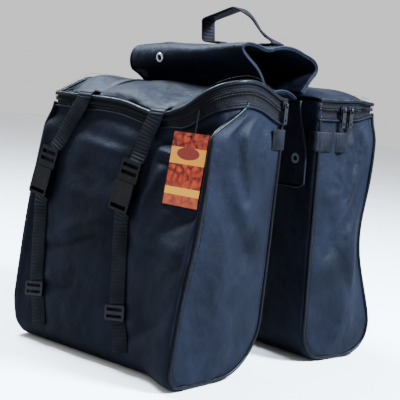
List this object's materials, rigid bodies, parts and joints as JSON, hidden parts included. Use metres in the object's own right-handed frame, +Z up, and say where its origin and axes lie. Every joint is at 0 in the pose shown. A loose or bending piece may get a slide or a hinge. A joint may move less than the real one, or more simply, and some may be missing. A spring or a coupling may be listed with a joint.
{
  "type": "throw-over saddlebag pair",
  "caption": "Pair of soft wedge-shaped saddlebags joined by an arched yoke with a carry handle, zipped lids, and webbing straps with side-release buckles.",
  "frame": {"origin": "on the ground plane under the middle of the pair", "axes": "+Z up, +X forward along the vehicle, +Y to the left bag"},
  "size_m": [0.3136, 0.4302, 0.4666],
  "materials": {
    "nylon": "coated plain weave",
    "piping": "satin woven cover",
    "webbing": "ribbed webbing",
    "zip_tape": "knitted tape with a moulded coil",
    "foam": "open-cell foam",
    "board": "matt sheet",
    "buckle_plastic": "moulded, fine grain",
    "bright_metal": "nickel plate",
    "dark_metal": "black enamel",
    "card": "printed card",
    "tie_plastic": "moulded tie"
  },
  "bodies": {
    "yoke": {"yoke_bridge": "nylon", "yoke_crown": "nylon", "yoke_flank_right": "nylon", "yoke_flank_left": "nylon", "flank_snaps": "bright_metal", "handle_feet": "webbing"},
    "handle": {"handle": "webbing"},
    "hang_tag": {"hang_tag": "card"},
    "right_bag": {"right_outer_panel": "nylon", "right_inner_panel": "nylon", "right_base_panel": "nylon", "right_fore_side_panel": "nylon", "right_aft_side_panel": "nylon", "right_side_piping": "piping", "right_stiffener_boards": "board", "right_zip_lower_half": "zip_tape", "right_lower_straps": "webbing", "right_buckle_sockets": "buckle_plastic", "right_tri_glides": "buckle_plastic", "right_side_webbing": "webbing", "right_yoke_flap": "nylon", "right_flap_eyelets": "bright_metal", "tag_fastener": "tie_plastic"},
    "right_lid": {"right_zip_upper_half": "zip_tape", "right_lid_cover": "nylon", "right_lid_foam": "foam", "right_lid_piping": "piping", "right_upper_straps": "webbing"},
    "right_zip_slider_1": {"right_zip_slider_1": "bright_metal"},
    "right_zip_pull_1": {"right_zip_pull_1": "dark_metal"},
    "right_zip_slider_2": {"right_zip_slider_2": "bright_metal"},
    "right_zip_pull_2": {"right_zip_pull_2": "dark_metal"},
    "right_buckle_plug_1": {"right_buckle_plug_1": "buckle_plastic"},
    "right_buckle_plug_2": {"right_buckle_plug_2": "buckle_plastic"},
    "left_bag": {"left_outer_panel": "nylon", "left_inner_panel": "nylon", "left_base_panel": "nylon", "left_fore_side_panel": "nylon", "left_aft_side_panel": "nylon", "left_side_piping": "piping", "left_stiffener_boards": "board", "left_zip_lower_half": "zip_tape", "left_lower_straps": "webbing", "left_buckle_sockets": "buckle_plastic", "left_tri_glides": "buckle_plastic", "left_side_webbing": "webbing", "left_yoke_flap": "nylon", "left_flap_eyelets": "bright_metal"},
    "left_lid": {"left_zip_upper_half": "zip_tape", "left_lid_cover": "nylon", "left_lid_foam": "foam", "left_lid_piping": "piping", "left_upper_straps": "webbing"},
    "left_zip_slider_1": {"left_zip_slider_1": "bright_metal"},
    "left_zip_pull_1": {"left_zip_pull_1": "dark_metal"},
    "left_zip_slider_2": {"left_zip_slider_2": "bright_metal"},
    "left_zip_pull_2": {"left_zip_pull_2": "dark_metal"},
    "left_buckle_plug_1": {"left_buckle_plug_1": "buckle_plastic"},
    "left_buckle_plug_2": {"left_buckle_plug_2": "buckle_plastic"}
  },
  "joints": [
    {"name": "right_bag_swing", "type": "hinge", "parent": "yoke", "child": "right_bag", "pos_m": [-0.00537, -0.042, 0.354], "axis": [-0.9976, -0.0698, 0], "range_deg": [-6, 15], "deforming": ["yoke_flank_right"]},
    {"name": "right_lid_hinge", "type": "hinge", "parent": "right_bag", "child": "right_lid", "pos_m": [-0.00537, -0.042, 0.354], "axis": [-0.9976, -0.0698, 0], "range_deg": [0, 65], "deforming": ["yoke_flank_right", "flank_snaps"]},
    {"name": "right_zip_slider_1_run", "type": "slide", "parent": "right_bag", "child": "right_zip_slider_1", "axis": [0.0698, -0.9976, 0], "range_m": [0, 0.055]},
    {"name": "right_zip_pull_1_swing", "type": "hinge", "parent": "right_zip_slider_1", "child": "right_zip_pull_1", "pos_m": [0.14978, -0.04017, 0.345], "axis": [0.0698, -0.9976, 0], "range_deg": [0, 110]},
    {"name": "right_zip_slider_2_run", "type": "slide", "parent": "right_bag", "child": "right_zip_slider_2", "axis": [0.0698, -0.9976, 0], "range_m": [-0.05, 0.012]},
    {"name": "right_zip_pull_2_swing", "type": "hinge", "parent": "right_zip_slider_2", "child": "right_zip_pull_2", "pos_m": [-0.15571, -0.11266, 0.345], "axis": [-0.0698, 0.9976, 0], "range_deg": [0, 110]},
    {"name": "right_buckle_plug_1_release", "type": "slide", "parent": "right_lid", "child": "right_buckle_plug_1", "axis": [0.1303, 0.1315, 0.9827], "range_m": [0, 0.02]},
    {"name": "right_buckle_plug_2_release", "type": "slide", "parent": "right_lid", "child": "right_buckle_plug_2", "axis": [0.1303, 0.1315, 0.9827], "range_m": [0, 0.02]},
    {"name": "left_bag_swing", "type": "hinge", "parent": "yoke", "child": "left_bag", "pos_m": [-0.00537, 0.042, 0.354], "axis": [0.9976, -0.0698, 0], "range_deg": [-6, 15], "deforming": ["yoke_flank_left"]},
    {"name": "left_lid_hinge", "type": "hinge", "parent": "left_bag", "child": "left_lid", "pos_m": [-0.00537, 0.042, 0.354], "axis": [0.9976, -0.0698, 0], "range_deg": [0, 65], "deforming": ["yoke_flank_left", "flank_snaps"]},
    {"name": "left_zip_slider_1_run", "type": "slide", "parent": "left_bag", "child": "left_zip_slider_1", "axis": [0.0698, 0.9976, 0], "range_m": [0, 0.012]},
    {"name": "left_zip_pull_1_swing", "type": "hinge", "parent": "left_zip_slider_1", "child": "left_zip_pull_1", "pos_m": [0.15334, 0.09105, 0.345], "axis": [-0.0698, -0.9976, 0], "range_deg": [0, 110]},
    {"name": "left_zip_slider_2_run", "type": "slide", "parent": "left_bag", "child": "left_zip_slider_2", "axis": [0.0698, 0.9976, 0], "range_m": [-0.037, 0]},
    {"name": "left_zip_pull_2_swing", "type": "hinge", "parent": "left_zip_slider_2", "child": "left_zip_pull_2", "pos_m": [0.15236, 0.07708, 0.345], "axis": [-0.0698, -0.9976, 0], "range_deg": [0, 110]},
    {"name": "left_buckle_plug_1_release", "type": "slide", "parent": "left_lid", "child": "left_buckle_plug_1", "axis": [0.1303, -0.1315, 0.9827], "range_m": [0, 0.02]},
    {"name": "left_buckle_plug_2_release", "type": "slide", "parent": "left_lid", "child": "left_buckle_plug_2", "axis": [0.1303, -0.1315, 0.9827], "range_m": [0, 0.02]},
    {"name": "handle_swing", "type": "hinge", "parent": "yoke", "child": "handle", "pos_m": [0.0295, 0, 0.4183], "axis": [1, 0, 0], "range_deg": [-70, 70], "deforming": ["handle"]},
    {"name": "hang_tag_swing", "type": "hinge", "parent": "right_bag", "child": "hang_tag", "pos_m": [0.11571, -0.1679, 0.29711], "axis": [-0.9976, -0.0698, 0], "range_deg": [0, 60]}
  ]
}
